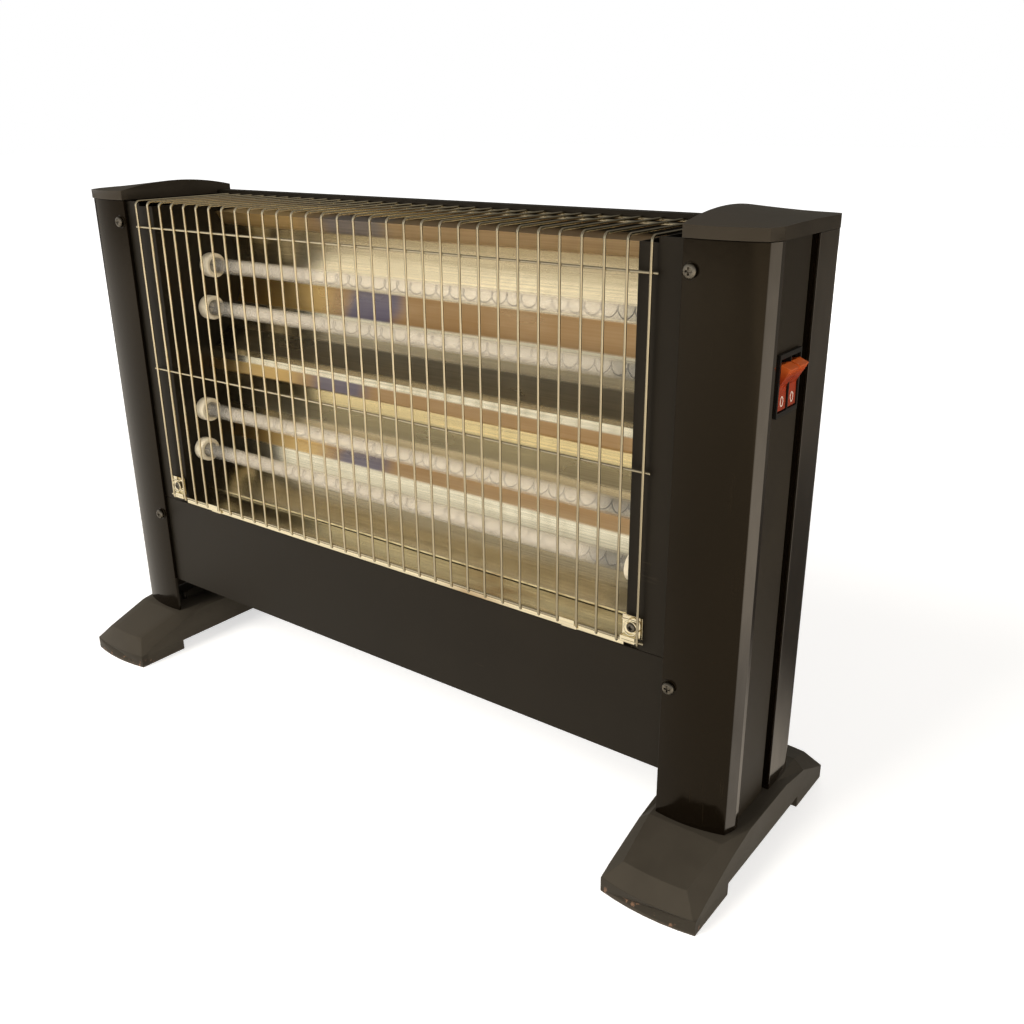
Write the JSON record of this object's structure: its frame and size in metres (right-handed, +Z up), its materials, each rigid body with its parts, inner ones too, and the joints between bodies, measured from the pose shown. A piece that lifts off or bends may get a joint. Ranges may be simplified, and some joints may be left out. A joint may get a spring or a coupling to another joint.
{
  "type": "halogen heater",
  "caption": "Free-standing quartz tube heater: two end towers on feet, tubes before a polished reflector, a wire guard and a double rocker switch.",
  "frame": {"origin": "on the floor, at the middle of the rectangle that the two feet cover", "axes": "+X along the heater towards the end with the switch, -Y out of the front, +Z up"},
  "size_m": [0.529, 0.176, 0.3537],
  "materials": {
    "shell_gloss": "high gloss, near-black brown",
    "panel_satin": "satin black paint",
    "cap_plastic": "satin black, moulded",
    "foot_plastic": "matt dark grey, moulded",
    "case_steel": "satin black powder coat",
    "mirror_sheet": "polished",
    "guard_wire": "bright nickel plate",
    "quartz": "milky, satin",
    "coil_wire": "oxidised resistance wire",
    "ceramic_white": "unglazed steatite",
    "switch_black": "moulded",
    "rocker_red": "translucent red-orange",
    "screw_steel": "zinc plated",
    "bush_rubber": "matt black",
    "block_plastic": "moulded"
  },
  "bodies": {
    "heater": {"foot_right": "foot_plastic", "foot_left": "foot_plastic", "tower_front_shell_right": "shell_gloss", "tower_front_shell_left": "shell_gloss", "tower_rear_shell_right": "shell_gloss", "tower_rear_shell_left": "shell_gloss", "side_panel_right": "panel_satin", "side_panel_left": "panel_satin", "tower_cap_right": "cap_plastic", "tower_cap_left": "cap_plastic", "front_panel": "case_steel", "rear_panel": "case_steel", "base_plate": "case_steel", "end_frame_right": "case_steel", "end_frame_left": "case_steel", "reflector": "mirror_sheet", "guard_tray": "mirror_sheet", "guard": "guard_wire", "quartz_tube_1": "quartz", "quartz_tube_2": "quartz", "quartz_tube_3": "quartz", "quartz_tube_4": "quartz", "heating_coil_1": "coil_wire", "heating_coil_2": "coil_wire", "heating_coil_3": "coil_wire", "heating_coil_4": "coil_wire", "ceramic_cap_1_right": "ceramic_white", "ceramic_cap_1_left": "ceramic_white", "ceramic_cap_2_right": "ceramic_white", "ceramic_cap_2_left": "ceramic_white", "ceramic_cap_3_right": "ceramic_white", "ceramic_cap_3_left": "ceramic_white", "ceramic_cap_4_right": "ceramic_white", "ceramic_cap_4_left": "ceramic_white", "guard_clip_right": "mirror_sheet", "guard_clip_left": "mirror_sheet", "guard_tab_right": "mirror_sheet", "guard_tab_left": "mirror_sheet", "front_screw_upper_right": "screw_steel", "front_screw_lower_right": "screw_steel", "front_screw_upper_left": "screw_steel", "front_screw_lower_left": "screw_steel", "rear_screw_right": "screw_steel", "rear_screw_left": "screw_steel", "clip_screw_right": "screw_steel", "clip_screw_left": "screw_steel", "foot_screw_front_right": "screw_steel", "foot_screw_rear_right": "screw_steel", "foot_screw_front_left": "screw_steel", "foot_screw_rear_left": "screw_steel", "switch_housing": "switch_black", "rocker_axle": "screw_steel", "terminal_block": "block_plastic", "cable_bush": "bush_rubber", "thermal_cutout": "block_plastic", "wiring_right": "bush_rubber", "wiring_left": "bush_rubber"},
    "rocker_front": {"rocker_front": "rocker_red"},
    "rocker_rear": {"rocker_rear": "rocker_red"}
  },
  "joints": [
    {"name": "rocker_front_tilt", "type": "hinge", "parent": "heater", "child": "rocker_front", "pos_m": [0.2523, -0.01395, 0.2743], "axis": [0, -1, 0], "range_deg": [0, 28]},
    {"name": "rocker_rear_tilt", "type": "hinge", "parent": "heater", "child": "rocker_rear", "pos_m": [0.2523, -0.00205, 0.2743], "axis": [0, -1, 0], "range_deg": [0, 28]}
  ]
}
